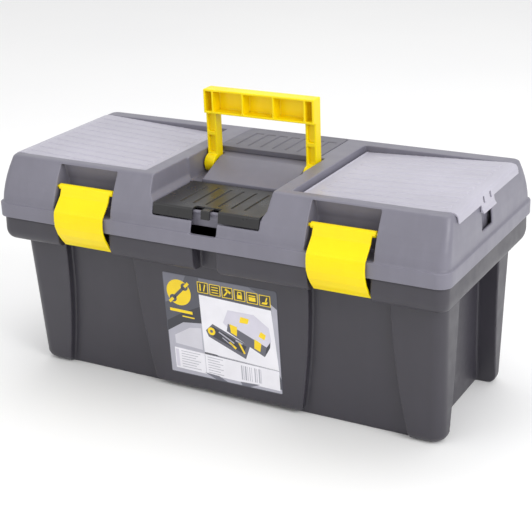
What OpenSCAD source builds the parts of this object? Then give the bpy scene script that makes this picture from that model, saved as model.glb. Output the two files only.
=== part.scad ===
// Moulded plastic toolbox with a lift-out tray, two clear-lidded organisers in its lid,
// two centre compartments, a folding carry handle and two front latches.
// Millimetres. Origin: centre of the footprint, on the floor. X = length, -Y = front, +Z = up.
// The lid is shut and the handle stands upright.

/* [Overall] */
// Length of the lid rim, left to right
body_l = 525; // [430:1:640]
// Depth of the lid rim, front to back
body_w = 245; // [228:1:300]
// Height of the lid rim's lower edge above the floor
rim_z = 183; // [150:1:230]
// Height of the lid, from the rim's lower edge to its top
lid_h = 64; // [62:1:80]
// Height of the plain band round the lid rim
rim_h = 16; // [12:1:18]
// Thickness of the moulded walls
wall = 2.4; // [2:0.1:3]
// Radius of the upright corners of the lid rim
corner_r = 13; // [9:1:18]

/* [Tub] */
// Height of the flared collar at the top of the tub
collar_h = 27; // [22:1:34]
// How far the end face of a corner leg lies inside the rim, at the collar
leg_in_x = 12.5; // [10:0.5:16]
// How far the front face of a corner leg lies inside the rim, at the collar
leg_in_y = 25.5; // [20:0.5:30]
// How much further in the legs' end faces are at the floor
leg_taper_x = 4; // [0:0.5:8]
// How much further in the legs' front faces are at the floor
leg_taper_y = 9.5; // [4:0.5:12]
// Width of a leg along X at the collar
leg_w_x = 57; // [45:1:64]
// Width of a leg along Y at the collar
leg_w_y = 41; // [30:1:46]
// How much narrower a leg is at the floor
leg_narrow = 21; // [12:1:24]
// Depth of the recess between the legs on the front and back
recess_y = 9; // [5:0.5:12]
// Depth of the recess between the legs on the ends
recess_x = 22; // [12:1:26]
// Half width of the raised centre panel, at the collar
panel_half = 105; // [80:1:108]
// How much narrower each side of the centre panel is at the floor
panel_narrow = 14; // [0:1:20]

/* [Latches] */
// Distance of each latch from the middle of the box
latch_x = 150; // [140:1:160]
// Width of a latch
latch_w = 62; // [50:1:66]
// Thickness of a latch plate
latch_t = 2.5; // [2:0.1:3]
// Width of the ear at each side of a latch's hinge bar
latch_ear = 3.5; // [2:0.5:4]
// Radius of a latch's hinge bar
latch_bar_r = 3.4; // [3:0.1:4]
// Radius of the trunnions that a latch turns on
latch_pin_r = 1.8; // [1.5:0.1:2.2]

/* [Handle] */
// Half of the handle's length
handle_half = 66; // [58:1:66]
// Height of the handle's top above its pivot
handle_rise = 82; // [66:1:88]
// Depth of the grip, front to back
grip_d = 16; // [14:0.5:18]
// Height of the grip
grip_h = 26; // [20:1:30]
// Width of each leg of the handle
handle_leg_w = 12; // [10:0.5:13]
// Depth of each leg of the handle
handle_leg_d = 12; // [10:0.5:13]
// Radius of the knuckle at the foot of each leg
knuckle_r = 10; // [9:0.5:10]
// Radius of the handle's trunnions
handle_pin_r = 4; // [3:0.5:5]

/* [Covers] */
// Half width of the opening between the two organisers, at the top
valley_half = 70; // [68:0.5:72]
// Width of the frame between that opening and an organiser
valley_frame = 16; // [14:1:18]
// How far the organiser covers' front edge lies inside the rim
cover_front_in = 36; // [36:1:42]
// How far the organiser covers' back edge lies inside the rim
cover_back_in = 43; // [40:1:50]
// How much lower the organiser covers lie at their hinges than at their outer ends
cover_drop = 7.5; // [4:0.5:9]
// Thickness of the organiser covers
cover_t = 2; // [1.6:0.1:2.4]
// Thickness of the two centre covers
lid_plate_t = 2.5; // [2:0.1:3]
// Half width of the two centre covers
centre_half = 62; // [56:1:62]
// Height of the floor of the compartments in the lid, above the rim's lower edge
well_z = 20; // [18:1:26]

/* [Tray] */
// Depth of the tray's basin, below its resting flange
tray_depth = 46; // [30:1:60]
// Height of the tray's edge above its flange
tray_edge = 13; // [8:1:14]
// Wall thickness of the tray
tray_t = 2.2; // [1.8:0.1:2.6]

/* [Fits] */
// Gap between parts that lie next to each other
gap = 0.5; // [0.3:0.1:0.8]
// Radial play of every pin in its hole
play = 0.1; // [0.05:0.01:0.15]

/* [Hidden] */
$fn = 48;
tub_fn = 40;                              // corners of the tub
lid_fn = 32;                              // corners of the lid
skin_steps = 10;                          // points along a bowed edge of the tub
lid_steps = 5;                            // levels up the lid's bowed faces
eps = 0.01;
far = 400;                                // longer than any cut needs to be
hx = body_l / 2;
hy = body_w / 2;
rim_top = rim_z + rim_h;
top_z = rim_z + lid_h;
collar_z = rim_z - collar_h;

// lid body: how far its faces lie inside the rim at the band and at the top
side_in = [2.5, 3];
top_in = [7.2, 23];
side_bow = [1.2, 2.4];
fold_r = 3.5;                             // rounding of the lid's top edge

// shut line: the tub's lip stands up inside the lid rim
lip_in = 4.5;
lip_h = 8;
shoulder_h = 2.5;
collar_in = 3;                            // the collar's top lies this far inside the rim
collar_round = [4, 9, 12];                // rounding of its lower edge along X, Y and Z
foot_r = 9.5;                             // rounding under the legs
leg_bow = [4, 3];                         // how far the legs' inner edges bow, on the front and the end
panel_bow = 3;                            // the same for the centre panel's sides
panel_z = 4;                              // the centre panel starts this far above the floor
panel_r = 7;                              // its lower corners

// rear hinge
hinge_r = 4.5;
hinge_pin_r = 2;
hinge_y = hy;
hinge_z = rim_z - 2;
hinge_x = 150;
hinge_len = 30;                           // lid knuckle
hinge_ear = 8;                            // each tub ear

// latch seats and pockets
pocket_half = latch_w / 2 + latch_ear + 2;
pocket_back = hy - 34;                    // the pocket's back wall
pocket_lean = 5;                          // how far it leans forward at the top
pivot_y = -(hy - 17);                     // latch hinge line
pivot_z = rim_z + 39;
seat_y = hy - 16.5;                       // back of the latch seat in the collar
seat_half = latch_w / 2 + 2.5;
centre_seat_y = hy - 19;                  // back of the recess in the middle of the collar's front
centre_seat_half = 14;
latch_tip_z = collar_z + 2;

// handle hinge line, in the middle of the lid
knuckle_y = 5;
knuckle_z = top_z - 15;
handle_back = knuckle_y + 11;             // back face of the grip and legs

// centre of the lid
floor_z = top_z - 27.2;                   // seat of the front centre cover
front_y = -(hy - 10.5);                   // front edge of the front centre cover
front_back = -35;                         // its back edge
ledge_y = -32.5;
slope_top = [7.5, top_z - 7];
rear_y0 = 20.5;                           // rear centre cover
rear_y1 = hy - 30.5;
rear_half = centre_half - 2;
lip_drop = 11.5;                          // front cover's hanging lip
rear_lip = 5.5;
notch_half = 15;                          // finger notch in the front cover
centre_pin_r = 1.2;
front_pin_y = front_back - 1.5;
rear_pin_y = rear_y1 - 1.5;

// organiser covers
cover_x0 = valley_half + valley_frame;    // recess wall beside the hinge
cover_pin_x = cover_x0 + 4;
cover_pin_r = 1.6;
cover_y0 = -(hy - cover_front_in);
cover_y1 = hy - cover_back_in;
cover_pin_z = top_z - cover_drop - 0.8;
cover_top = top_z + 0.3;
cover_end_z = top_z - 10;                 // lower edge of the wrapped end
tab_drop = 8;                             // the finger tab hangs this far below it
tab_y = -12;
tab_half = 17;
slot_z = [top_z - 38, top_z - 21];
slot_half = 14;

// compartments in the lid
well_floor = rim_z + well_z + wall;
ledge = 6;                                // shelf round each compartment
divider_t = 1.6;                          // all loose dividers
organiser_plates = 2;                     // loose dividers in each organiser

// tray
shelf_z = collar_z + wall;                // inside ledge of the collar
tray_z = shelf_z + 0.3;
tray_roll = 1.2;                          // rolled edge
tray_rim = [hx - 16.5, centre_seat_y - wall - tray_roll - 2 * gap];
basin = [hx - 41.5, hy - 43.5];
basin_taper = 4;
tray_floor = tray_z - tray_depth;
tray_top = tray_z + tray_edge;
grip_half = 55;
grip_r = 5;                               // half the thickness of the tray's grip
grip_top = tray_top + 6;
divider_play = 0.2;                       // room at each side of a loose divider
divider_x = grip_half + 2;                // the tray's dividers stand here
divider_top = tray_z - 8;
guide_t = 1.6;                            // guide ribs
guide_d = 5;

// label
label_half = 69;
label_z = [20, 140];
label_t = 0.4;

// relief of the covers
rib_rise = 0.8;                           // how far the organiser covers' ribs stand up
groove_w = 2.6;                           // width of the grooves in the centre covers
groove_d = 1.1;                           // their depth

c_tub = [0.30, 0.29, 0.33];
c_lid = [0.54, 0.53, 0.58];
c_yellow = [1.0, 0.86, 0.0];
c_clear = [0.86, 0.86, 0.90, 0.55];
c_dark = [0.24, 0.24, 0.25];
c_rear = [0.50, 0.49, 0.53];
c_steel = [0.7, 0.7, 0.72];
c_label = [0.30, 0.31, 0.33];

// ---------- helpers ----------
function lerp(a, b, t) = a + (b - a) * t;
// points on a shallow bow from p to q; s is how far its middle stands off the straight line
function bow(p, q, s, n) = let (d = q - p, nrm = [d[1], -d[0]] / norm(d))
    [for (i = [0 : n]) let (t = i / n) p + d * t + nrm * s * 4 * t * (1 - t)];
function arc(c, r, a0, a1, n) =
    [for (i = [0 : n]) let (a = lerp(a0, a1, i / n)) c + r * [cos(a), sin(a)]];

module along_x(len) rotate([90, 0, 90]) linear_extrude(len, center = true) children();
module along_y(len) rotate([90, 0, 0]) linear_extrude(len, center = true) children();
module both_x() { children(); mirror([1, 0, 0]) children(); }
module both_y() { children(); mirror([0, 1, 0]) children(); }
module box(a, b) translate(a) cube(b - a);
module rod_x(x0, x1, y, z, r) translate([x0, y, z]) rotate([0, 90, 0]) cylinder(h = x1 - x0, r = r);
module rod_y(y0, y1, x, z, r) translate([x, y0, z]) rotate([-90, 0, 0]) cylinder(h = y1 - y0, r = r);

module plan(x, y, r) {
    square([2 * x - 2 * r, 2 * y], center = true);
    square([2 * x, 2 * y - 2 * r], center = true);
    for (sx = [-1, 1], sy = [-1, 1]) translate([sx * (x - r), sy * (y - r)]) circle(r);
}
module slab(z0, z1, x, y, r) translate([0, 0, z0]) linear_extrude(z1 - z0) plan(x, y, r);

// one smooth convex block through level outlines, each [z, half x, half y, corner radius]
module stack(levels, skin_fn = tub_fn) hull()
    for (l = levels) slab(l[0] - eps, l[0], l[1], l[2], l[3], $fn = skin_fn);

// ---------- tub ----------
// all tub outlines take g, the distance inside the outer skin
module collar(g) stack([
    for (i = [0 : 7]) let (a = 90 * i / 7)
        [collar_z + g + collar_round[2] * (1 - cos(a)), hx - collar_in - collar_round[0] * (1 - sin(a)) - g,
         hy - collar_in - collar_round[1] * (1 - sin(a)) - g, corner_r - 2],
    [rim_z - gap, hx - collar_in - g, hy - collar_in - g, corner_r - 1]]);

module leg_block(g) stack([
    for (i = [0 : 5]) let (a = 90 * i / 5)
        [g + foot_r * (1 - cos(a)), hx - leg_in_x - leg_taper_x - foot_r * (1 - sin(a)) - g,
         hy - leg_in_y - leg_taper_y - foot_r * (1 - sin(a)) - g, corner_r],
    [rim_z - 10, hx - leg_in_x - g, hy - leg_in_y - g, corner_r]]);

// side outline of a leg or panel whose edges curve inwards on the way down
module leg_front(g) {
    x1 = hx - leg_in_x - leg_w_x + g;
    x0 = hx - leg_in_x - leg_taper_x - leg_w_x + leg_narrow + g;
    polygon(concat([[hx, rim_z - 5]], [[x1, rim_z - 5]],
        bow([x1, collar_z], [x0, 0], leg_bow[0], skin_steps), [[hx, 0]]));
}
module leg_end(g) {
    y1 = hy - leg_in_y - leg_w_y + g;
    y0 = hy - leg_in_y - leg_taper_y - leg_w_y + leg_narrow + g;
    polygon(concat([[hy, rim_z - 5], [y1, rim_z - 5]],
        bow([y1, collar_z], [y0, 0], leg_bow[1], skin_steps), [[hy, 0]]));
}
module panel_front(g) {
    x1 = panel_half - g;
    x0 = panel_half - panel_narrow - g;
    r = panel_r;
    polygon(concat(
        [[-x1, rim_z - 5]], bow([-x1, collar_z], [-x0, r + panel_z], panel_bow, skin_steps),
        arc([-x0 + r, r + panel_z], r, 180, 270, 6), arc([x0 - r, r + panel_z], r, 270, 360, 6),
        bow([x0, r + panel_z], [x1, collar_z], panel_bow, skin_steps), [[x1, rim_z - 5]]));
}
module core(g) intersection() {
    along_y(body_w) polygon([
        [-(hx - leg_in_x - recess_x - g), rim_z - 5], [-(hx - leg_in_x - leg_taper_x - recess_x - g), g],
        [hx - leg_in_x - leg_taper_x - recess_x - g, g], [hx - leg_in_x - recess_x - g, rim_z - 5]]);
    along_x(body_l) polygon([
        [-(hy - leg_in_y - recess_y - g), rim_z - 5], [-(hy - leg_in_y - leg_taper_y - recess_y - g), g],
        [hy - leg_in_y - leg_taper_y - recess_y - g, g], [hy - leg_in_y - recess_y - g, rim_z - 5]]);
}
module tub_mass(g) {
    collar(g);
    core(g);
    intersection() {
        leg_block(g);
        union() {
            both_x() intersection() {
                along_y(body_w) leg_front(g);
                union() { along_x(2 * body_l) leg_end(g); mirror([0, 1, 0]) along_x(2 * body_l) leg_end(g); }
            }
            along_y(body_w) panel_front(g);
        }
    }
}
// recesses in the collar's front, open at their front and top: one behind each latch, one in the middle
module seats(g) {
    for (s = [-1, 1])
        box([s * latch_x - seat_half - g, -far, collar_z - 10],
            [s * latch_x + seat_half + g, -seat_y + g, far]);
    box([-centre_seat_half - g, -far, collar_z - 10], [centre_seat_half + g, -centre_seat_y + g, far]);
}

module tub() color(c_tub) difference() {
    union() {
        difference() {
            union() {
                tub_mass(0);
                slab(rim_z - gap - shoulder_h, rim_z - gap, hx - collar_in, hy - collar_in, corner_r - 1);
                slab(rim_z - 5, rim_z + lip_h, hx - lip_in, hy - lip_in, corner_r - 2);
            }
            difference() {
                union() {
                    tub_mass(wall);
                    slab(rim_z - 8, far, hx - lip_in - wall, hy - lip_in - wall, corner_r - 4);
                }
                seats(wall);
            }
            seats(0);
        }
        // hinge ears on the back of the collar
        for (s = [-1, 1], e = [-1, 1]) {
            m = s * hinge_x + e * (hinge_len / 2 + gap + hinge_ear / 2);
            rod_x(m - hinge_ear / 2, m + hinge_ear / 2, hinge_y, hinge_z, hinge_r);
            translate([m, 0, 0]) along_x(hinge_ear) polygon([
                [hinge_y + hinge_r, hinge_z], [hinge_y - hinge_r, hinge_z], [hinge_y - 8, hinge_z - 4],
                [hinge_y - 8, hinge_z - 18], [hinge_y - 4, hinge_z - 18]]);
        }
    }
    for (s = [-1, 1]) rod_x(s * hinge_x - 40, s * hinge_x + 40, hinge_y, hinge_z, hinge_pin_r + play / 2);
    // the lid's rim and knuckles need this room
    for (s = [-1, 1]) rod_x(s * hinge_x - hinge_len / 2 - gap, s * hinge_x + hinge_len / 2 + gap,
                            hinge_y, hinge_z, hinge_r + gap);
}

module hinge_pins() color(c_steel) for (s = [-1, 1])
    rod_x(s * hinge_x - hinge_len / 2 - hinge_ear, s * hinge_x + hinge_len / 2 + hinge_ear,
          hinge_y, hinge_z, hinge_pin_r);

// the label lies on the sloping face of the centre panel
module label() color(c_label) intersection() {
    along_y(body_w) translate([0, (label_z[0] + label_z[1]) / 2])
        plan(label_half, (label_z[1] - label_z[0]) / 2, 2);
    along_x(body_l) polygon([
        [face_y(10) - label_t - 0.02, 10], [face_y(10) - 0.02, 10], [face_y(rim_z - 30) - 0.02, rim_z - 30],
        [face_y(rim_z - 30) - label_t - 0.02, rim_z - 30]]);
}
// y of the panel's face at height z
function face_y(z) = -(hy - leg_in_y - leg_taper_y * (rim_z - 10 - z) / (rim_z - 10 - foot_r));

// ---------- lid ----------
function lid_level(t, g) = let (bx = side_bow[0] * 4 * t * (1 - t), by = side_bow[1] * 4 * t * (1 - t))
    [lerp(rim_top, top_z - fold_r, t), hx - lerp(side_in[0], top_in[0], t) + bx - g,
     hy - lerp(side_in[1], top_in[1], t) + by - g, corner_r - 2 - 4 * t];
module lid_mass(g) {
    stack([
        if (g > 0) [rim_top - 2 * wall, hx - side_in[0] - g, hy - side_in[1] - g, corner_r - 2],
        for (i = [0 : lid_steps]) lid_level(i / lid_steps, g),
        for (i = [1 : 3]) let (a = 90 * i / 3, e = lid_level(1, g))
            [top_z - fold_r + (fold_r - g) * sin(a), e[1] - fold_r * (1 - cos(a)),
             e[2] - fold_r * 1.6 * (1 - cos(a)), e[3]]], lid_fn);
}
// x of the lid's end face at height z
function lid_face_x(z) = lid_level((z - rim_top) / (top_z - fold_r - rim_top), 0)[1];
// side outline of an organiser cover's seat
module seat_outline(g) polygon([
    [cover_x0 - g, far], [cover_x0 - g, cover_pin_z - 3.2 - g], [cover_x0 + 8, cover_pin_z - 3.2 - g],
    [cover_x0 + 8, cover_pin_z - 1.4 - g], [cover_edge_x - 10, cover_top - cover_t - gap - g],
    [cover_edge_x - 6.2, cover_top - cover_t - 0.8 - gap - g],
    [cover_edge_x - cover_t - 1.1 - gap, cover_top - 4.6 - gap - g], [hx + far, cover_top - 4.6 - gap - g],
    [hx + far, far]]);

// everything hollowed from the lid; g grows it to make the walls round each hollow
module lid_cuts(g) {
    both_x() {
        translate([0, (cover_y0 + cover_y1) / 2, 0])
            along_y(cover_y1 - cover_y0 + 2 * gap + 2 * g) seat_outline(g);
        box([cover_x0 + ledge - g, cover_y0 + ledge - g, well_floor - g],
            [hx - 12 + g, cover_y1 - ledge + g, top_z + 20]);
        // latch pocket, whose back wall leans forward to the lid's top edge
        translate([latch_x, 0, 0]) along_x(2 * pocket_half + 2 * g) polygon([
            [-far, rim_top - g], [-pocket_back + g, rim_top - g], [-pocket_back + g, pivot_z + 5],
            [-pocket_back - pocket_lean + g, top_z - wall], [-far, top_z - wall]]);
        // room for a handle leg and its knuckle
        box([handle_half - handle_leg_w - 1.5 - g, ledge_y - g, knuckle_z - knuckle_r - 0.7 - g],
            [handle_half + 2 + g, rear_y0 - 1 + g, far]);
    }
    // open valley between the organisers
    translate([0, -far + ledge_y, 0]) along_y(2 * far) valley_outline(g);
    intersection() {
        along_x(2 * (handle_half + 2) + 2 * g) polygon([
            [-far, floor_z - g], [ledge_y + g, floor_z - g], [ledge_y + g, floor_z + 5.2 - g],
            [slope_top[0], slope_top[1] - g], [rear_y0 - gap + g, slope_top[1] + 0.6 - g],
            [rear_y0 - gap + g, far], [-far, far]]);
        along_y(2 * far) valley_outline(g);
    }
    // front compartment and the hinge groove behind its cover
    box([-centre_half + ledge - g, front_y + ledge - g, well_floor - g],
        [centre_half - ledge + g, front_back - ledge + g, floor_z + 1]);
    box([-centre_half - gap - g, front_back - 4 - g, floor_z - 1.1 - g],
        [centre_half + gap + g, ledge_y + g, floor_z + 1]);
    // rear compartment, its cover's seat and hinge groove
    box([-rear_half - gap - g, rear_y0 - gap - g, top_z - lid_plate_t - 0.3 - g],
        [rear_half + gap + g, rear_y1 + 1.3 + g, far]);
    box([-rear_half - gap - g, rear_y0 - gap - g, top_z - rear_lip - gap - g],
        [rear_half + gap + g, rear_y0 + 2.2 + gap + g, far]);
    box([-rear_half - gap - g, rear_pin_y - 2.5 - g, top_z - 5 - g],
        [rear_half + gap + g, rear_y1 + 1.3 + g, far]);
    box([-rear_half + ledge - g, rear_y0 + ledge - g, well_floor - g],
        [rear_half - ledge + g, rear_y1 - ledge + g, far]);
}
module valley_outline(g) polygon(concat(
    [[-centre_half - 1.5 - g, floor_z - g], [centre_half + 1.5 + g, floor_z - g]],
    [[centre_half + 1.8 + g, floor_z + 3], [handle_half + 2 + g, knuckle_z - 3],
     [valley_half + g, top_z], [valley_half + g, far]],
    [[-valley_half - g, far], [-valley_half - g, top_z],
     [-handle_half - 2 - g, knuckle_z - 3], [-centre_half - 1.8 - g, floor_z + 3]]));

module lid_shell() color(c_lid) difference() {
    union() {
        difference() {
            union() {
                slab(rim_z, rim_top, hx, hy, corner_r);
                lid_mass(0);
            }
            lid_mass(wall);
            slab(rim_z - 1, rim_top - wall, hx - wall, hy - wall, corner_r - 2);
        }
        intersection() {
            union() {
                slab(rim_top - wall, rim_top, hx, hy, corner_r);
                lid_mass(0);
            }
            union() {
                lid_cuts(wall);
                both_x() rod_x(handle_half + 1, handle_half + 10, knuckle_y, knuckle_z, handle_pin_r + 3);
            }
        }
        // hinge knuckles, each joined to the rim by a web
        for (s = [-1, 1]) {
            rod_x(s * hinge_x - hinge_len / 2, s * hinge_x + hinge_len / 2, hinge_y, hinge_z, hinge_r);
            translate([s * hinge_x, 0, 0]) along_x(hinge_len) polygon([
                [hinge_y + hinge_r, hinge_z], [hinge_y + hinge_r, rim_z + 3], [hinge_y, rim_z + 9],
                [hinge_y - wall, rim_z + 9], [hinge_y - wall, rim_z + 0.5], [hinge_y, hinge_z]]);
        }
    }
    lid_cuts(0);
    // front face set back behind the front cover's hanging lip, and the finger slot under it
    box([-centre_half - gap, -far, top_z - 36.5], [centre_half + gap, front_y + 1.2 + gap, floor_z + 1]);
    box([-notch_half, -far, rim_top - 1], [notch_half, front_y + 4, top_z - 36]);
    // finger slot in each end, under the cover's tab
    both_x() box([hx - 9, tab_y - slot_half, slot_z[0]], [hx + far, tab_y + slot_half, slot_z[1]]);
    // the tub's hinge ears turn in these notches
    for (s = [-1, 1], e = [-1, 1]) {
        m = s * hinge_x + e * (hinge_len / 2 + gap + hinge_ear / 2);
        rod_x(m - hinge_ear / 2 - gap, m + hinge_ear / 2 + gap, hinge_y, hinge_z, hinge_r + gap);
    }
    // bores
    for (s = [-1, 1]) rod_x(s * hinge_x - 40, s * hinge_x + 40, hinge_y, hinge_z, hinge_pin_r + play);
    both_x() {
        rod_x(handle_half, handle_half + 7, knuckle_y, knuckle_z, handle_pin_r + play);
        rod_x(latch_x - pocket_half - 2.2, latch_x + pocket_half + 2.2, pivot_y, pivot_z, latch_pin_r + play);
        rod_y(cover_y0 - gap - 2, cover_y1 + gap + 2, cover_pin_x, cover_pin_z, cover_pin_r + play);
        rod_x(0, centre_half + 3.5, front_pin_y, floor_z + 1.5, centre_pin_r + play);
        rod_x(0, rear_half + gap + 2.2, rear_pin_y, top_z - 1.7, centre_pin_r + play);
    }
}

// ---------- latches ----------
// outer line of a latch, from its hinge bar over the rim band to its tip, as [y, z]
latch_outer = [
    [pivot_y - latch_bar_r, pivot_z + 1], [pivot_y - latch_bar_r - 4, pivot_z - 8],
    [-(hy + 0.2), rim_top + 4.5], [-(hy + 3.2), rim_top + 0.8],
    [-(hy + 4), rim_top - 3], [-(hy + 4.5), rim_z + 7], [-(hy + 3.9), rim_z],
    [-(hy + 0.5), rim_z - 9], [-(hy - 5.5), rim_z - 18], [-(hy - 11.5), latch_tip_z]];
// the same line moved t to its left
function beside(p, t) = [for (i = [0 : len(p) - 1])
    let (d = p[min(i + 1, len(p) - 1)] - p[max(i - 1, 0)]) p[i] + t * [-d[1], d[0]] / norm(d)];
function reversed(p) = [for (i = [1 : len(p)]) p[len(p) - i]];

module latch() {
    along_x(latch_w) polygon(concat(latch_outer, reversed(beside(latch_outer, latch_t))));
    rod_x(-latch_w / 2 - latch_ear, latch_w / 2 + latch_ear, pivot_y, pivot_z, latch_bar_r);
    rod_x(-pocket_half - 1.9, pocket_half + 1.9, pivot_y, pivot_z, latch_pin_r);
}
module latch_left() color(c_yellow) translate([-latch_x, 0, 0]) latch();
module latch_right() color(c_yellow) translate([latch_x, 0, 0]) latch();

// ---------- organiser covers ----------
cover_edge_x = lid_face_x(cover_end_z) + gap + cover_t; // outer face of the wrapped end
module cover_outline(h) {
    a = [cover_pin_x, cover_pin_z];
    z1 = cover_top - h;
    polygon(concat(
        [[a[0] - 1.2, a[1] + 1.2], [cover_edge_x - 9, z1]],
        [[cover_edge_x - 3.4, z1 - 1.1], [cover_edge_x - 1.2, z1 - 4], [cover_edge_x, cover_end_z],
         [cover_edge_x - cover_t, cover_end_z], [cover_edge_x - cover_t - 1.1, z1 - 4.6],
         [cover_edge_x - 6, z1 - cover_t - 0.8], [cover_edge_x - 10, z1 - cover_t],
         [a[0] - 1.2, a[1] - 0.8]]));
}
module clear_cover() {
    y0 = cover_y0;
    y1 = cover_y1;
    mid = (y0 + y1) / 2;
    n = 10;
    pitch = (y1 - y0 - 14) / n;
    tab_in = lid_face_x(cover_end_z - tab_drop) + gap;
    difference() {
        union() {
            translate([0, mid, 0]) along_y(y1 - y0) cover_outline(0);
            rod_y(y0 + 0.2, y1 - 0.2, cover_pin_x, cover_pin_z, 1.9);
            rod_y(y0 - gap - 1.8, y1 + gap + 1.8, cover_pin_x, cover_pin_z, cover_pin_r);
            // finger tab with its thumb lip
            translate([0, tab_y, 0]) along_y(2 * tab_half) polygon([
                [cover_edge_x - cover_t, cover_end_z + 1], [tab_in, cover_end_z - tab_drop],
                [hx - 0.4, cover_end_z - tab_drop - 1], [hx - 0.4, cover_end_z - tab_drop + 0.6],
                [tab_in + cover_t, cover_end_z - tab_drop + 3], [cover_edge_x, cover_end_z + 1]]);
        }
        // slots at both sides of the tab
        for (s = [-1, 1]) box([cover_edge_x - 12, tab_y + s * 9 - 2, cover_end_z - 0.5],
            [hx + 5, tab_y + s * 9 + 2, cover_end_z + 6]);
    }
    // shallow ribs along the cover
    for (i = [0 : n - 1]) translate([cover_pin_x + 14, y0 + 7 + (i + 0.5) * pitch, 0]) rib(pitch * 0.45);
}
module rib(w) intersection() {
    translate([0, -w / 2, top_z - 20]) cube([cover_edge_x - cover_pin_x - 28, w, 40]);
    translate([-(cover_pin_x + 14), 0, 0]) along_y(w) polygon([
        [cover_pin_x, cover_pin_z + 0.5], [cover_edge_x - 9, cover_top - 0.8],
        [cover_edge_x - 9, cover_top + rib_rise], [cover_pin_x, cover_pin_z + 1.2 + rib_rise]]);
}
module clear_cover_right() color(c_clear) clear_cover();
module clear_cover_left() color(c_clear) mirror([1, 0, 0]) clear_cover();

// ---------- centre covers ----------
// a groove along Y in a top face at height z
module groove(x, y0, y1, z) box([x - groove_w / 2, y0, z - groove_d], [x + groove_w / 2, y1, z + 1]);
module front_cover() color(c_dark) {
    z0 = floor_z + gap;
    z1 = z0 + lid_plate_t;
    difference() {
        union() {
            along_x(2 * centre_half) polygon(concat(
                [[front_back, z0], [front_back, z1]], arc([front_y + 1.5, z1 - 2.5], 2.5, 90, 160, 4),
                [[front_y - 2.6, z1 - lip_drop], [front_y - 0.2, z1 - lip_drop], [front_y + 1.2, z0]]));
            rod_x(-centre_half, centre_half, front_pin_y, floor_z + 1.5, 1.4);
            rod_x(-centre_half - 3, centre_half + 3, front_pin_y, floor_z + 1.5, centre_pin_r);
        }
        // finger notch, with a sprung tongue left standing in it
        difference() {
            box([-notch_half, -far, z1 - 20], [notch_half, front_y + 8, z1 + 1]);
            box([-5, -far, z1 - lip_drop + 1.5], [5, 0, z1 - 1]);
        }
        // grooves in the top
        for (i = [-2.5 : 1 : 2.5]) groove(i * 15, front_y + 14, front_back - 12, z1);
    }
}
module rear_cover() color(c_rear) {
    z0 = top_z - lid_plate_t;
    difference() {
        union() {
            translate([0, (rear_y0 + rear_y1) / 2, z0]) linear_extrude(lid_plate_t)
                plan(rear_half, (rear_y1 - rear_y0) / 2, 4);
            box([-rear_half + 4, rear_y0, top_z - rear_lip], [rear_half - 4, rear_y0 + 2.2, z0 + 1]);
            rod_x(-rear_half - gap - 1.8, rear_half + gap + 1.8, rear_pin_y, top_z - 1.7, centre_pin_r);
        }
        // grooves, each with a short hook at its back end
        for (i = [-3 : 3]) {
            groove(i * 15, rear_y0 + 10, rear_y1 - 16, top_z);
            box([i * 15 - groove_w / 2, rear_y1 - 16 - groove_w / 2, top_z - groove_d],
                [i * 15 + 9, rear_y1 - 16 + groove_w / 2, top_z + 1]);
        }
    }
}

// ---------- carry handle ----------
module carry_handle() color(c_yellow) {
    z1 = knuckle_z + handle_rise;
    z0 = z1 - grip_h;
    y1 = handle_back;
    y0 = y1 - grip_d;
    rib_t = 2.2;
    inner = handle_half - handle_leg_w;
    end_w = handle_leg_w - 2 * rib_t;
    bay = (2 * inner - 2 * rib_t) / 3;
    difference() {
        union() {
            box([-handle_half, y0, z0], [handle_half, y1, z1]);
            both_x() box([inner, y1 - handle_leg_d, knuckle_z], [handle_half, y1, z0 + 1]);
            both_x() rod_x(inner, handle_half, knuckle_y, knuckle_z, knuckle_r);
            both_x() rod_x(inner, handle_half + 5, knuckle_y, knuckle_z, handle_pin_r);
        }
        // three bays open to the front of the grip
        for (i = [-1 : 1]) box([i * (bay + rib_t) - bay / 2, y0 - 1, z0 + rib_t],
            [i * (bay + rib_t) + bay / 2, y1 - rib_t, z1 - rib_t]);
        both_x() {
            box([inner + rib_t, y0 - 1, z0 + rib_t], [inner + rib_t + end_w, y1 - rib_t, z1 - rib_t]);
            // pockets in the legs, split by a cross rib
            for (k = [0 : 1]) {
                h = (z0 - knuckle_z - knuckle_r - 4) / 2;
                b = knuckle_z + knuckle_r + 2 + k * (h + rib_t);
                box([inner + rib_t, y1 - handle_leg_d - 1, b],
                    [handle_half - rib_t, y1 - handle_leg_d + 4, b + h - rib_t]);
                box([inner + rib_t, y1 - 4, b], [handle_half - rib_t, y1 + 1, b + h - rib_t]);
            }
            rod_x(inner - 1, inner + 5, knuckle_y, knuckle_z, 5);
        }
        // the legs' backs are cut away behind the knuckles
        both_x() box([inner - 1, knuckle_y + knuckle_r, knuckle_z - knuckle_r],
            [handle_half + 1, y1 + 1, knuckle_z + 4]);
    }
}

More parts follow.
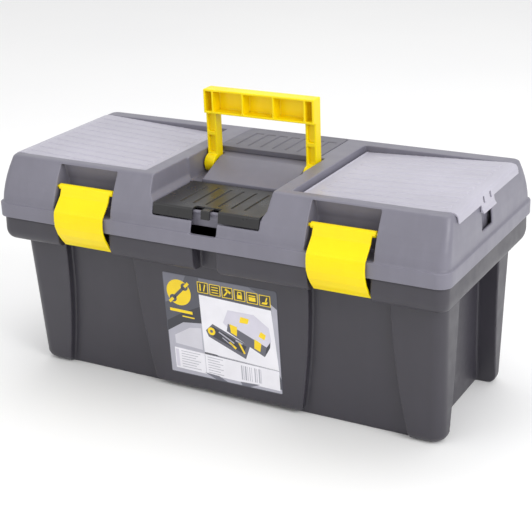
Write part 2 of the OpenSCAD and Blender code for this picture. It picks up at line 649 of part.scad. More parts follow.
// ---------- tray ----------
module basin_block(g, z0) intersection() {
    along_y(body_w) polygon([
        [-(basin[0] - g), tray_z + 1], [-(basin[0] - basin_taper - g), z0],
        [basin[0] - basin_taper - g, z0], [basin[0] - g, tray_z + 1]]);
    along_x(body_l) polygon([
        [-(basin[1] - g), tray_z + 1], [-(basin[1] - basin_taper - g), z0],
        [basin[1] - basin_taper - g, z0], [basin[1] - g, tray_z + 1]]);
}
module tray() color(c_dark) {
    difference() {
        union() {
            difference() {
                union() {
                    slab(tray_z, tray_top, tray_rim[0], tray_rim[1], 10);
                    slab(tray_top - 2.5, tray_top, tray_rim[0] + tray_roll, tray_rim[1] + tray_roll, 11);
                    basin_block(0, tray_floor);
                }
                slab(tray_z + tray_t, tray_top + 1, tray_rim[0] - tray_t, tray_rim[1] - tray_t, 8);
                difference() {
                    basin_block(tray_t, tray_floor + tray_t);
                    box([-far, -far, tray_z + 0.5], [far, far, far]);
                }
                slab(tray_z - 1, tray_z + tray_t + 1, basin[0] - tray_t, basin[1] - tray_t, 3);
            }
            // upright wall with the lifting grip
            box([-grip_half, -tray_t / 2, tray_floor + tray_t / 2],
                [grip_half, tray_t / 2, grip_top - grip_r]);
            rod_x(-grip_half, grip_half, 0, grip_top - grip_r, grip_r);
            // guides for the loose dividers on the front and back walls
            intersection() {
                basin_block(tray_t / 2, tray_floor + tray_t / 2);
                for (s = [-1, 1], e = [-1, 1], y = [-1, 1]) {
                    x = s * divider_x + e * (divider_t / 2 + divider_play + guide_t / 2);
                    box([x - guide_t / 2, y * (basin[1] - 4) - guide_d, tray_floor],
                        [x + guide_t / 2, y * (basin[1] - 4) + guide_d, divider_top]);
                }
            }
        }
        // finger opening under the grip
        box([-grip_half + 12, -tray_t, grip_top - 32], [grip_half - 12, tray_t, grip_top - 2 * grip_r - 1]);
    }
}
module tray_dividers() color(c_rear) intersection() {
    basin_block(tray_t + 2 * divider_play, tray_floor + tray_t + eps);
    for (s = [-1, 1])
        box([s * divider_x - divider_t / 2, -hy, tray_floor],
            [s * divider_x + divider_t / 2, hy, divider_top]);
}

// loose dividers of the organisers, standing across the compartments
module organiser_dividers() {
    x0 = cover_x0 + ledge;
    x1 = hx - 12;
    for (i = [1 : organiser_plates]) {
        x = lerp(x0, x1, i / (organiser_plates + 1));
        box([x - divider_t / 2, cover_y0 + ledge + 0.4, well_floor + 0.1],
            [x + divider_t / 2, cover_y1 - ledge - 0.4, top_z - 16]);
    }
}
module organiser_dividers_left() color(c_rear) mirror([1, 0, 0]) organiser_dividers();
module organiser_dividers_right() color(c_rear) organiser_dividers();

tub();
label();
hinge_pins();
lid_shell();
latch_left();
latch_right();
clear_cover_left();
clear_cover_right();
front_cover();
rear_cover();
carry_handle();
tray();
tray_dividers();
organiser_dividers_left();
organiser_dividers_right();
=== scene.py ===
"""Builds the finished look of a moulded plastic toolbox around its fixed frame: tub, hinged lid,
latches, organiser covers, centre covers, carry handle, printed label and lift-out tray."""
import math

import bmesh
import bpy
from mathutils import Matrix, Vector


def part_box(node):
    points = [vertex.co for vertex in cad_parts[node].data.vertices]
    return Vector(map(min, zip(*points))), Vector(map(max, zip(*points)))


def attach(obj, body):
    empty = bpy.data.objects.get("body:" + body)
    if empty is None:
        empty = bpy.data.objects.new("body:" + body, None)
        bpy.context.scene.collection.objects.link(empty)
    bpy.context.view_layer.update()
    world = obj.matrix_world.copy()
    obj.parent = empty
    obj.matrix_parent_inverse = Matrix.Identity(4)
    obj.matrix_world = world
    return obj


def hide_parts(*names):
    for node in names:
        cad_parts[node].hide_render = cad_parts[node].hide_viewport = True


bl_info = {
    "name": "Toolbox with tray",
    "version": (1, 0, 0),
    "blender": (4, 5, 0),
    "location": "View3D > Sidebar > Toolbox",
    "description": "Builds a moulded toolbox with covers, latches, handle, label and tray",
    "category": "Object",
}

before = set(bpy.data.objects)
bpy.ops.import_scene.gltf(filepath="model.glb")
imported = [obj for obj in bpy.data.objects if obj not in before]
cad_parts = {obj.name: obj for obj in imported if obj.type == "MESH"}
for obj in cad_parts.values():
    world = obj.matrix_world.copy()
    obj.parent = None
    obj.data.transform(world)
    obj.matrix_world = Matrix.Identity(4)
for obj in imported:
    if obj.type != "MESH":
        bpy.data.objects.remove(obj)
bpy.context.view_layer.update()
MM = 0.001

# most triangles that each kind of moulding keeps
BIG_FACES = 190000
COVER_FACES = 150000
SMALL_FACES = 90000
LATCH_FACES = 40000
CLOUD = (0.3, 0.7)
# the label: its thickness, and how far its film's face lies behind the frame's face
LABEL_FILM = 0.4 * MM
FILM_FRONT = 0.13 * MM
INK_OVERLAP = 0.01 * MM
# the tub is pressed flat this far round the label, and this far behind its film
PRESS_MARGIN = 2 * MM
PRESS_REACH = 1.5 * MM
PRESS_GAP = 0.1 * MM
# floor: half its side, and how far it lies below the feet
FLOOR_HALF = 9
FLOOR_DROP = 0.5 * MM


def colour_prop(name, description, default):
    return bpy.props.FloatVectorProperty(
        name=name, description=description, default=default, subtype="COLOR", min=0, max=1
    )


def length_prop(name, description, default):
    return bpy.props.FloatProperty(
        name=name, description=description, default=default, unit="LENGTH", subtype="DISTANCE", min=0
    )


class ToolboxColours(bpy.types.PropertyGroup):
    """Colours of the plastics and the print, as linear values."""

    lid: colour_prop("Lid", "Grey of the lid and its rear cover", (0.18, 0.174, 0.215))
    tub: colour_prop("Tub", "Dark grey of the tub", (0.042, 0.039, 0.050))
    yellow: colour_prop("Yellow", "Latches and carry handle", (1.0, 0.735, 0.0))
    frosted: colour_prop("Frosted", "Frosted organiser covers", (0.50, 0.485, 0.56))
    charcoal: colour_prop("Charcoal", "Front centre cover", (0.018, 0.0175, 0.0185))
    tray: colour_prop("Tray", "Lift-out tray", (0.028, 0.028, 0.03))
    divider: colour_prop("Divider", "Loose dividers", (0.2, 0.2, 0.23))
    steel: colour_prop("Steel", "Hinge pins", (0.55, 0.55, 0.57))


class ToolboxMoulding(bpy.types.PropertyGroup):
    """Sizes that shape the moulded surfaces."""

    big_cell: length_prop("Cell of the big mouldings", "Detail kept on the tub and lid", 0.9 * MM)
    cover_cell: length_prop("Cell of the covers", "Detail kept on the covers", 0.5 * MM)
    small_cell: length_prop("Cell of the small mouldings", "Detail kept on latches and handle", 0.45 * MM)
    grain: length_prop("Grain", "Size of the moulded grain", 0.8 * MM)
    grain_depth: length_prop("Grain depth", "Height of the moulded grain", 0.03 * MM)
    rounding: bpy.props.IntProperty(
        name="Rounding", description="Rounds of smoothing that soften each edge", default=5, min=0
    )


class ToolboxLabel(bpy.types.PropertyGroup):
    """Sizes of the printed label."""

    corner: length_prop("Corner", "Radius of the film's corners", 3 * MM)
    ink: length_prop("Ink", "Thickness of one layer of ink", 0.012 * MM)


class ToolboxStage(bpy.types.PropertyGroup):
    """Camera, floor and lights."""

    eye: bpy.props.FloatVectorProperty(
        name="Eye", description="Place of the camera", default=(0.6602, -1.153, 0.6493), unit="LENGTH"
    )
    target: bpy.props.FloatVectorProperty(
        name="Target", description="Point that the camera looks at", default=(0.002, 0.0028, 0.1211),
        unit="LENGTH",
    )
    roll: bpy.props.FloatProperty(
        name="Roll", description="Turn of the camera about its view line", default=math.radians(-2.085),
        subtype="ANGLE",
    )
    lens: bpy.props.FloatProperty(
        name="Lens", description="Focal length on a 36 mm wide sensor, in millimetres", default=88.34
    )
    key: bpy.props.FloatProperty(name="Key", description="Power of the key light", default=14, unit="POWER")
    fill: bpy.props.FloatProperty(name="Fill", description="Power of the fill light", default=3, unit="POWER")
    top: bpy.props.FloatProperty(name="Top", description="Power of the top light", default=7, unit="POWER")
    sky: bpy.props.FloatProperty(name="Sky", description="Strength of the surrounding light", default=0.85)


def settings():
    s = bpy.context.scene
    return s.toolbox_colours, s.toolbox_moulding, s.toolbox_label, s.toolbox_stage


# ---------- materials ----------
class Nodes:
    """A material's node tree, with short ways to add to it."""

    def __init__(self, name):
        self.mat = bpy.data.materials.get(name) or bpy.data.materials.new(name)
        self.mat.use_nodes = True
        self.tree = self.mat.node_tree
        self.tree.nodes.clear()
        self.out = self.add("ShaderNodeOutputMaterial")
        self.shader = self.add("ShaderNodeBsdfPrincipled")
        self.link(self.shader, "BSDF", self.out, "Surface")
        self.place = self.add("ShaderNodeTexCoord")

    def add(self, kind, **values):
        node = self.tree.nodes.new(kind)
        for key, value in values.items():
            setattr(node, key, value)
        return node

    def link(self, a, out, b, into):
        self.tree.links.new(a.outputs[out], b.inputs[into])

    def noise(self, scale, detail=3, stretch=None):
        node = self.add("ShaderNodeTexNoise")
        node.inputs["Scale"].default_value = scale
        node.inputs["Detail"].default_value = detail
        if stretch:
            mapping = self.add("ShaderNodeMapping")
            mapping.inputs["Scale"].default_value = stretch
            self.link(self.place, "Object", mapping, "Vector")
            self.link(mapping, "Vector", node, "Vector")
        else:
            self.link(self.place, "Object", node, "Vector")
        return node

    def ranged(self, source, out, low, high, to_low, to_high):
        node = self.add("ShaderNodeMapRange")
        for name, value in zip(("From Min", "From Max", "To Min", "To Max"), (low, high, to_low, to_high)):
            node.inputs[name].default_value = value
        self.link(source, out, node, "Value")
        return node

    def mix(self, factor, a, b):
        """A colour mix by a ranged node; a is a colour or a mix node, b a colour."""
        node = self.add("ShaderNodeMix", data_type="RGBA")
        self.link(factor, "Result", node, 0)
        if isinstance(a, bpy.types.Node):
            self.tree.links.new(a.outputs[2], node.inputs[6])
        else:
            node.inputs[6].default_value = (*a, 1)
        node.inputs[7].default_value = (*b, 1)
        return node

    def cloudy(self, scale, detail, low, high):
        """Noise ranged from low to high."""
        return self.ranged(self.noise(scale, detail), "Fac", *CLOUD, low, high)

    def paint(self, tone):
        self.tree.links.new(tone.outputs[2], self.shader.inputs["Base Color"])

    def roughen(self, scale, detail, low, high):
        self.link(self.cloudy(scale, detail, low, high), "Result", self.shader, "Roughness")

    def emboss(self, size, height, strength):
        """Fine relief of that grain size and height."""
        bump = self.add("ShaderNodeBump")
        bump.inputs["Distance"].default_value = height
        bump.inputs["Strength"].default_value = strength
        self.link(self.noise(1 / size), "Fac", bump, "Height")
        self.link(bump, "Normal", self.shader, "Normal")

    def set(self, **values):
        """Sets constants on the shader, by socket name with spaces as underscores."""
        for key, value in values.items():
            self.shader.inputs[key.replace("_", " ")].default_value = value


def shade(colour, k):
    return tuple(min(1.0, c * k) for c in colour)


def plastic(name, colour, rough, grain, depth, edge=1.5, streaks=0.05, crease_shade=0.62):
    """Moulded plastic: soft cloudy tone, faint flow marks, fine grain, painted highlights on edges and
    painted shade in creases.
    """
    n = Nodes(name)
    tone = n.mix(n.cloudy(11, 4, 0, 1), shade(colour, 0.94), shade(colour, 1.06))
    flow = n.noise(1, 2, stretch=(95, 95, 5))
    tone = n.mix(n.ranged(flow, "Fac", 0.45, 0.75, 0, streaks * 4), tone, shade(colour, 1.25))
    bend = n.add("ShaderNodeNewGeometry")
    # painted highlight: convex edges, found by pointiness, are lightened towards the colour times edge
    tone = n.mix(n.ranged(bend, "Pointiness", 0.52, 0.60, 0, 0.8), tone, shade(colour, edge))
    # painted shade: hollows and creases, found by pointiness, are darkened by the crease factor
    tone = n.mix(n.ranged(bend, "Pointiness", 0.485, 0.42, 0, 0.9), tone, shade(colour, crease_shade))
    n.paint(tone)
    n.roughen(60, 5, rough - 0.05, rough + 0.06)
    n.emboss(grain, depth, 0.6)
    return n


def grey_plastic(name, colour, rough):
    m = settings()[1]
    return plastic(name, colour, rough, m.grain, m.grain_depth).mat


def yellow_plastic():
    c, m = settings()[:2]
    n = plastic(
        "yellow_plastic", tuple(c.yellow), 0.34, m.grain * 1.6, m.grain_depth * 0.5, edge=1.2, streaks=0.02
    )
    n.set(
        Specular_IOR_Level=0.3, Subsurface_Weight=0.15, Subsurface_Radius=(1.0, 0.45, 0.05),
        Subsurface_Scale=2 * MM,
    )
    return n.mat


def frosted_plastic():
    c, m = settings()[:2]
    # the edge and crease factors set the painted highlight on the ridges and the painted shade in the valleys
    n = plastic(
        "frosted_plastic", tuple(c.frosted), 0.36, m.grain * 1.2, m.grain_depth * 0.5, edge=1.3,
        streaks=0.0, crease_shade=0.7,
    )
    n.set(
        Alpha=0.86, Subsurface_Weight=0.2, Subsurface_Radius=(1.0, 0.95, 1.0), Subsurface_Scale=2 * MM
    )
    return n.mat


def steel():
    c = settings()[0]
    n = plastic("pin_steel", tuple(c.steel), 0.3, 0.3 * MM, 0.01 * MM, edge=1.1, streaks=0.0)
    n.set(Metallic=1)
    return n.mat


def ink(name, colour):
    """Printed film: a flat tone with a little mottle under a semi-gloss coat."""
    n = Nodes(name)
    n.paint(n.mix(n.cloudy(45, 4, 0, 1), shade(colour, 0.95), shade(colour, 1.04)))
    n.roughen(120, 3, 0.28, 0.4)
    n.emboss(1 / 300, 0.02 * MM, 0.4)
    return n.mat


# ---------- meshes ----------
def new_object(name, mesh, *materials):
    old = bpy.data.objects.get(name)
    if old:
        bpy.data.objects.remove(old)
    obj = bpy.data.objects.new(name, mesh)
    bpy.context.scene.collection.objects.link(obj)
    for mat in materials:
        obj.data.materials.append(mat)
    return obj


def settle(obj):
    """Applies the modifiers of a piece and keeps the result as its mesh."""
    bpy.context.view_layer.update()
    view = bpy.context.evaluated_depsgraph_get()
    mesh = bpy.data.meshes.new_from_object(obj.evaluated_get(view))
    obj.modifiers.clear()
    obj.data = mesh


def moulded(node, name, mat, cell, rounds, faces):
    """A copy of a frame node with every edge softened as a mould leaves it, thinned to that many faces."""
    obj = new_object(name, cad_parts[node].data.copy())
    grid = obj.modifiers.new("grid", "REMESH")
    grid.mode = "VOXEL"
    grid.voxel_size = cell
    soft = obj.modifiers.new("soft", "SMOOTH")
    soft.factor = 0.5
    soft.iterations = rounds
    settle(obj)
    thin = obj.modifiers.new("thin", "DECIMATE")
    thin.ratio = min(1.0, faces / max(1, 2 * len(obj.data.polygons)))
    settle(obj)
    for face in obj.data.polygons:
        face.use_smooth = True
    obj.data.materials.clear()
    obj.data.materials.append(mat)
    return obj


def mirrored(obj, name):
    """A copy of a piece mirrored across the middle of the length."""
    mesh = obj.data.copy()
    mesh.transform(Matrix.Scale(-1, 4, (1, 0, 0)))
    mesh.flip_normals()
    return new_object(name, mesh)


def keep(node, mat):
    """Gives a frame node that stays in view its finish."""
    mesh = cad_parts[node].data
    mesh.materials.clear()
    mesh.materials.append(mat)


def take(obj, body, slot, *nodes):
    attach(obj, body)
    if nodes:
        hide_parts(*nodes)


def label_y(z):
    """Where the label's front face lies at height z."""
    lo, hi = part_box("label")
    return lo.y + (hi.z - z) * (hi.y - LABEL_FILM - lo.y) / (hi.z - lo.z)


# ---------- operators ----------
class TOOLBOX_OT_tub(bpy.types.Operator):
    """Builds the tub with its collar, legs and middle panel"""

    bl_idname = "toolbox.tub"
    bl_label = "Tub"

    def execute(self, context):
        c, m = settings()[:2]
        mat = grey_plastic("tub_plastic", tuple(c.tub), 0.4)
        obj = moulded("tub", "tub_moulding", mat, m.big_cell, m.rounding, BIG_FACES)
        lo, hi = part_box("label")
        for v in obj.data.vertices:
            face_y = label_y(v.co.z)
            beside = abs(v.co.x) < hi.x + PRESS_MARGIN
            level = lo.z - PRESS_MARGIN < v.co.z < hi.z + PRESS_MARGIN
            if beside and level and abs(v.co.y - face_y) < PRESS_REACH:
                v.co.y = face_y + LABEL_FILM + PRESS_GAP
        take(obj, "base", "tub_plastic", "tub")
        return {"FINISHED"}


class TOOLBOX_OT_hinge_pins(bpy.types.Operator):
    """Finishes the steel pins of the rear hinge"""

    bl_idname = "toolbox.hinge_pins"
    bl_label = "Hinge pins"

    def execute(self, context):
        keep("hinge_pins", steel())
        return {"FINISHED"}


class TOOLBOX_OT_lid(bpy.types.Operator):
    """Builds the lid with its rim band, latch pockets and compartments"""

    bl_idname = "toolbox.lid"
    bl_label = "Lid"

    def execute(self, context):
        c, m = settings()[:2]
        mat = grey_plastic("lid_plastic", tuple(c.lid), 0.38)
        obj = moulded("lid_shell", "lid_moulding", mat, m.big_cell, m.rounding, BIG_FACES)
        take(obj, "lid", "lid_plastic", "lid_shell")
        return {"FINISHED"}


class TOOLBOX_OT_latches(bpy.types.Operator):
    """Builds the two front latches"""

    bl_idname = "toolbox.latches"
    bl_label = "Latches"

    def execute(self, context):
        m = settings()[1]
        mat = yellow_plastic()
        right = moulded("latch_right", "latch_plate_right", mat, m.small_cell, m.rounding, LATCH_FACES)
        left = mirrored(right, "latch_plate_left")
        take(right, "latch_right", "yellow_plastic", "latch_right")
        take(left, "latch_left", "yellow_plastic", "latch_left")
        return {"FINISHED"}


class TOOLBOX_OT_clear_covers(bpy.types.Operator):
    """Builds the two frosted organiser covers"""

    bl_idname = "toolbox.clear_covers"
    bl_label = "Organiser covers"

    def execute(self, context):
        m = settings()[1]
        mat = frosted_plastic()
        right = moulded("clear_cover_right", "organiser_cover_right", mat, m.cover_cell, 2, COVER_FACES)
        left = mirrored(right, "organiser_cover_left")
        take(right, "clear_cover_right", "clear_plastic", "clear_cover_right")
        take(left, "clear_cover_left", "clear_plastic", "clear_cover_left")
        return {"FINISHED"}


class TOOLBOX_OT_centre_covers(bpy.types.Operator):
    """Builds the charcoal front cover and the grey rear cover of the lid's centre"""

    bl_idname = "toolbox.centre_covers"
    bl_label = "Centre covers"

    def execute(self, context):
        c, m = settings()[:2]
        dark = grey_plastic("charcoal_plastic", tuple(c.charcoal), 0.3)
        front = moulded("front_cover", "front_cover_plate", dark, m.small_cell, 2, SMALL_FACES)
        take(front, "front_cover", "dark_plastic", "front_cover")
        grey = grey_plastic("rear_cover_plastic", shade(tuple(c.lid), 0.7), 0.42)
        rear = moulded("rear_cover", "rear_cover_plate", grey, m.small_cell, 2, SMALL_FACES)
        take(rear, "rear_cover", "lid_plastic", "rear_cover")
        return {"FINISHED"}


class TOOLBOX_OT_handle(bpy.types.Operator):
    """Builds the yellow carry handle"""

    bl_idname = "toolbox.handle"
    bl_label = "Carry handle"

    def execute(self, context):
        m = settings()[1]
        obj = moulded("carry_handle", "handle_moulding", yellow_plastic(), m.small_cell, m.rounding,
                       SMALL_FACES)
        take(obj, "handle", "yellow_plastic", "carry_handle")
        return {"FINISHED"}


class TOOLBOX_OT_inside(bpy.types.Operator):
    """Builds the lift-out tray and finishes the loose dividers"""

    bl_idname = "toolbox.inside"
    bl_label = "Tray and dividers"

    def execute(self, context):
        c, m = settings()[:2]
        black = grey_plastic("tray_plastic", tuple(c.tray), 0.4)
        tray = moulded("tray", "tray_moulding", black, m.big_cell, 3, SMALL_FACES)
        take(tray, "tray", "tray_plastic", "tray")
        grey = grey_plastic("divider_plastic", tuple(c.divider), 0.45)
        for node in ("tray_dividers", "organiser_dividers_left", "organiser_dividers_right"):
            keep(node, grey)
        return {"FINISHED"}


INKS = {
    "slate": (0.088, 0.09, 0.112),
    "stripe": (0.045, 0.046, 0.058),
    "facet": (0.17, 0.172, 0.21),
    "silver": (0.44, 0.435, 0.50),
    "pale": (0.62, 0.61, 0.67),
    "white": (0.84, 0.83, 0.88),
    "line": (0.45, 0.445, 0.5),
    "yellow": (0.92, 0.66, 0.01),
    "glyph_ground": (0.05, 0.045, 0.035),
    "shade_grey": (0.13, 0.13, 0.16),
    "lilac": (0.66, 0.64, 0.73),
}


def bar(a, b, w):
    """A straight bar from a to b, w wide."""
    (x0, y0), (x1, y1) = a, b
    d = math.hypot(x1 - x0, y1 - y0)
    nx, ny = -(y1 - y0) / d * w / 2, (x1 - x0) / d * w / 2
    return [(x0 + nx, y0 + ny), (x1 + nx, y1 + ny), (x1 - nx, y1 - ny), (x0 - nx, y0 - ny)]


def rect(x0, y0, x1, y1):
    return [(x0, y0), (x1, y0), (x1, y1), (x0, y1)]


def arc_point(cx, cy, r, degrees):
    a = math.radians(degrees)
    return (cx + r * math.cos(a), cy + r * math.sin(a))


def disc(cx, cy, r, n=40):
    return [arc_point(cx, cy, r, 360 * i / n) for i in range(n)]


def pictogram(i, x, y):
    """The bars and plates of one of the six small tool pictures, about the middle x, y."""
    return (
        [bar((x - 3, y - 4), (x - 3, y + 4), 1.6), bar((x + 1, y - 4), (x + 3, y + 4), 1.4)],
        [bar((x - 4, y + k), (x + 4, y + k), 1.1) for k in (-3, 0, 3)],
        [bar((x - 4, y - 4), (x + 2, y + 3), 1.6), bar((x - 2, y + 4), (x + 4, y), 2.6)],
        [rect(x - 3, y - 4, x + 3, y + 0.6), bar((x - 2, y), (x - 2, y + 3.6), 1.1),
         bar((x + 2, y), (x + 2, y + 3.6), 1.1), bar((x - 2.5, y + 3.6), (x + 2.5, y + 3.6), 1.2)],
        [rect(x - 4, y - 3.6, x + 4, y + 1), bar((x - 4, y + 2.6), (x + 4, y + 2.6), 1.2)],
        [[(x - 4, y - 4), (x + 2, y - 4), (x + 3.6, y - 1), (x - 3, y - 2)],
         bar((x + 1, y - 1), (x + 2.6, y + 4), 1.5)],
    )[i]


def print_layout():
    """The label's print as (ink, layer, outline), in millimetres from the middle of its lower edge."""
    art = [
        ("facet", 1, [(-24, 119), (36, 119), (52, 111), (60, 103), (-24, 103)]),
        ("facet", 1, [(-68, 84), (-52, 92), (-40, 119), (-68, 119)]),
        ("stripe", 1, [(-68, 62), (-47, 75), (-24, 86), (-24, 66), (-48, 63), (-68, 50)]),
        ("silver", 1, [(-68, 50), (-48, 63), (-24, 66), (-24, 1), (-68, 1)]),
        ("pale", 2, [(-60, 46), (-40, 58), (-26, 60), (-26, 34), (-60, 36)]),
        ("silver", 1, [(61, 104), (68, 99), (68, 18), (65, 26)]),
        ("silver", 1, [(-24, 6), (68, 6), (68, 1), (-24, 1)]),
        ("white", 2, [(-25, 100), (61, 97), (66, 28), (-24, 32)]),
        ("white", 2, [(-62, 31), (66, 27), (66, 4), (-62, 6)]),
        ("line", 3, bar((-24, 31.4), (66, 27.4), 0.9)),
        ("stripe", 3, bar((-24, 31.6), (-8, 31), 1.2)),
        ("facet", 3, [(-26, 7), (-12, 1), (2, 1), (-8, 6)]),
        ("facet", 3, [(18, 5), (42, 6), (30, 1), (20, 1)]),
        # the pictured box, open-tray side
        ("lilac", 3, [(2, 72), (9, 88), (40, 88), (57, 76), (59, 61), (53, 52), (10, 65)]),
        ("shade_grey", 4, [(6, 63), (50, 41), (53, 53), (8, 72)]),
        ("stripe", 5, [(53, 53), (50, 41), (57, 53), (58, 60)]),
        ("yellow", 5, [(11, 62), (18, 59), (19, 70), (10, 72)]),
        ("yellow", 5, [(38, 49), (45, 46), (47, 56), (39, 60)]),
        ("yellow", 5, [(22, 76), (32, 76), (34, 82), (24, 83)]),
        ("yellow", 5, [(44, 64), (51, 61), (53, 67), (47, 70)]),
        # the pictured tray with tools in it
        ("shade_grey", 6, [(-20, 59), (-11, 68), (33, 50), (27, 34), (-17, 52)]),
        ("stripe", 7, [(-17, 59), (-11, 65), (29, 49), (24, 40), (-14, 54)]),
        ("yellow", 8, disc(-13, 59, 4.6)),
        ("shade_grey", 9, disc(-13, 59, 1.8, 20)),
        ("silver", 8, bar((-4, 60), (14, 50), 1.6)),
        ("yellow", 8, bar((8, 50), (16, 44), 2.6)),
        ("silver", 8, bar((0, 54), (12, 46), 1.2)),
        ("yellow", 8, bar((20, 52), (26, 40), 2.2)),
        ("silver", 8, bar((16, 54), (24, 51), 2.0)),
    ]
    # rows of the small table, and the bars beside it
    for row in range(7):
        v = 27.5 - 3.1 * row
        art.append(("line", 3, bar((-54, v), (-30 - 3 * (row % 3), v - 0.2), 0.8)))
        art.append(("line", 3, bar((-21, v - 0.8), (-2 - 4 * (row % 2), v - 1.2), 0.8)))
    art.append(("lilac", 3, rect(-61, 8, -57, 29)))
    art.append(("line", 3, bar((-24, 6), (-24, 30), 0.5)))
    for at, wide in ((20, 1.6), (22.6, 0.7), (24.5, 1.9), (27.6, 0.6), (30, 0.8), (32.4, 0.6), (36, 1.5),
                     (38.6, 0.7), (41, 1.7), (43.6, 0.6)):
        art.append(("line", 3, rect(at, 8, at + wide, 25)))
    # six small framed pictures of tools
    for i in range(6):
        x, y = -26 + 14.8 * i, 102.5 - 0.4 * i
        art.append(("yellow", 2, rect(x, y, x + 13, y + 12.6)))
        art.append(("glyph_ground", 3, rect(x + 0.8, y + 0.8, x + 12.2, y + 11.8)))
        art += [("yellow", 4, shape) for shape in pictogram(i, x + 6.5, y + 6.3)]
    # round badge with a plain open-ended spanner, and two plain rules under it
    cx, cy = -50, 98
    art.append(("yellow", 2, disc(cx, cy, 15)))
    art.append(("slate", 3, bar((cx - 6.5, cy - 6.5), (cx + 6.5, cy + 6.5), 3.6)))
    for k in (-1, 1):
        ex, ey = cx + k * 7.6, cy + k * 7.6
        art.append(("slate", 3, disc(ex, ey, 4.4, 28)))
        art.append(("yellow", 4, bar((ex, ey), (ex + k * 5, ey + k * 5), 3.2)))
    art.append(("yellow", 2, bar((-63, 76.5), (-35, 76), 3.4)))
    art.append(("yellow", 2, bar((-48, 70.5), (-33, 70.2), 1.4)))
    return art


class TOOLBOX_OT_label(bpy.types.Operator):
    """Builds the printed label: a thin film and its layers of ink"""

    bl_idname = "toolbox.label"
    bl_label = "Label"

    def execute(self, context):
        s = settings()[2]
        lo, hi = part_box("label")

        def at(u, v, depth):
            return (u, label_y(lo.z + v) + depth, lo.z + v)

        def plate(bm, outline, front, back, index):
            fronts = [bm.verts.new(at(u * MM, v * MM, front)) for u, v in outline]
            backs = [bm.verts.new(at(u * MM, v * MM, back)) for u, v in outline]
            area = sum(a[0] * b[1] - b[0] * a[1] for a, b in zip(outline, outline[1:] + outline[:1]))
            if area < 0:
                fronts.reverse()
                backs.reverse()
            made = [bm.faces.new(fronts), bm.faces.new(backs[::-1])]
            n = len(fronts)
            for i in range(n):
                j = (i + 1) % n
                made.append(bm.faces.new((fronts[j], fronts[i], backs[i], backs[j])))
            for face in made:
                face.material_index = index

        names = list(INKS)
        inks = [ink("ink_" + k, INKS[k]) for k in names]
        w, h, r = (hi.x - lo.x) / 2 / MM - 0.2, (hi.z - lo.z) / MM - 0.2, s.corner / MM
        corners = []
        for cx, cy, a0 in ((w - r, h - r, 0), (-w + r, h - r, 90), (-w + r, r, 180), (w - r, r, 270)):
            corners += [arc_point(cx, cy, r, a0 + 15 * i) for i in range(7)]
        bm = bmesh.new()
        plate(bm, corners, FILM_FRONT, LABEL_FILM, 0)
        mesh = bpy.data.meshes.new("label_film")
        bm.to_mesh(mesh)
        bm.free()
        film = new_object("label_film", mesh, inks[names.index("slate")])
        take(film, "base", "label_paper", "label")

        bm = bmesh.new()
        for name, layer, outline in print_layout():
            front = FILM_FRONT - layer * s.ink
            plate(bm, outline, front, front + s.ink + INK_OVERLAP, names.index(name))
        bmesh.ops.recalc_face_normals(bm, faces=bm.faces)
        mesh = bpy.data.meshes.new("label_print")
        bm.to_mesh(mesh)
        bm.free()
        art = new_object("label_print", mesh, *inks)
        take(art, "base", "label_paper")
        return {"FINISHED"}


def soft_light(name, place, target, size, power):
    """A round area light that faces its target."""
    lamp = bpy.data.lights.new(name, "AREA")
    lamp.shape = "DISK"
    lamp.size = size
    lamp.energy = power
    obj = bpy.data.objects.new(name, lamp)
    bpy.context.scene.collection.objects.link(obj)
    obj.location = place
    obj.rotation_euler = (Vector(target) - Vector(place)).to_track_quat("-Z", "Y").to_euler()


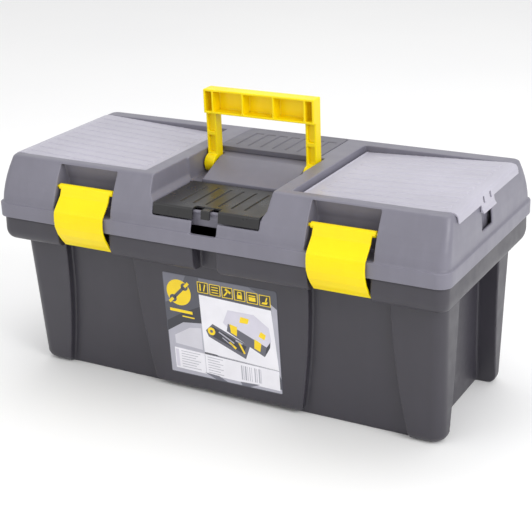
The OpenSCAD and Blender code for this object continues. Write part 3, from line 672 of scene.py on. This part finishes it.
class TOOLBOX_OT_stage(bpy.types.Operator):
    """Sets the floor, the lights and the camera"""

    bl_idname = "toolbox.stage"
    bl_label = "Stage"

    def execute(self, context):
        s = settings()[3]
        n = Nodes("floor_paper")
        n.paint(n.mix(n.cloudy(1.5, 2, 0, 1), (0.93, 0.93, 0.935), (0.95, 0.95, 0.95)))
        n.set(Roughness=0.9)
        bm = bmesh.new()
        bmesh.ops.create_grid(bm, x_segments=8, y_segments=8, size=FLOOR_HALF)
        mesh = bpy.data.meshes.new("floor")
        bm.to_mesh(mesh)
        bm.free()
        floor = new_object("floor", mesh, n.mat)
        floor.location.z = -FLOOR_DROP

        scene = context.scene
        world = bpy.data.worlds.new("studio")
        scene.world = world
        world.use_nodes = True
        sky = world.node_tree.nodes["Background"]
        sky.inputs["Color"].default_value = (1, 1, 1, 1)
        sky.inputs["Strength"].default_value = s.sky
        scene.view_settings.view_transform = "Standard"

        middle = (0, 0, 0.13)
        soft_light("key", (1.5, -0.55, 1.15), middle, 1.1, s.key)
        soft_light("fill", (-0.9, -1.5, 1.1), middle, 1.2, s.fill)
        soft_light("top", (-0.1, 0.5, 1.7), middle, 1.3, s.top)

        camera = bpy.data.objects.new("camera", bpy.data.cameras.new("camera"))
        scene.collection.objects.link(camera)
        camera.data.sensor_width = 36
        camera.data.lens = s.lens
        camera.data.clip_end = 50
        back = (Vector(s.eye) - Vector(s.target)).normalized()
        right = Vector((0, 0, 1)).cross(back).normalized()
        up = back.cross(right)
        turned = math.cos(s.roll) * right + math.sin(s.roll) * up
        upright = math.cos(s.roll) * up - math.sin(s.roll) * right
        turn = Matrix((turned, upright, back)).transposed().to_4x4()
        camera.matrix_world = Matrix.Translation(s.eye) @ turn
        scene.camera = camera
        return {"FINISHED"}


class TOOLBOX_PT_panel(bpy.types.Panel):
    """Lists the toolbox's pieces and settings"""

    bl_idname = "TOOLBOX_PT_panel"
    bl_label = "Toolbox"
    bl_space_type = "VIEW_3D"
    bl_region_type = "UI"
    bl_category = "Toolbox"

    def draw(self, context):
        for name in STEPS:
            self.layout.operator("toolbox." + name)
        for group in settings():
            for key in group.bl_rna.properties.keys():
                if key not in ("rna_type", "name"):
                    self.layout.prop(group, key)


STEPS = (
    "stage", "tub", "hinge_pins", "lid", "latches", "clear_covers", "centre_covers", "handle", "label",
    "inside",
)
GROUPS = {
    "toolbox_colours": ToolboxColours,
    "toolbox_moulding": ToolboxMoulding,
    "toolbox_label": ToolboxLabel,
    "toolbox_stage": ToolboxStage,
}
CLASSES = (
    *GROUPS.values(), TOOLBOX_OT_stage, TOOLBOX_OT_tub, TOOLBOX_OT_hinge_pins, TOOLBOX_OT_lid,
    TOOLBOX_OT_latches, TOOLBOX_OT_clear_covers, TOOLBOX_OT_centre_covers, TOOLBOX_OT_handle,
    TOOLBOX_OT_label, TOOLBOX_OT_inside, TOOLBOX_PT_panel,
)


def register():
    for cls in CLASSES:
        bpy.utils.register_class(cls)
    for key, cls in GROUPS.items():
        setattr(bpy.types.Scene, key, bpy.props.PointerProperty(type=cls))


def unregister():
    for key in GROUPS:
        delattr(bpy.types.Scene, key)
    for cls in reversed(CLASSES):
        bpy.utils.unregister_class(cls)


def main():
    register()
    for name in STEPS:
        getattr(bpy.ops.toolbox, name)()


if __name__ == "__main__":
    main()
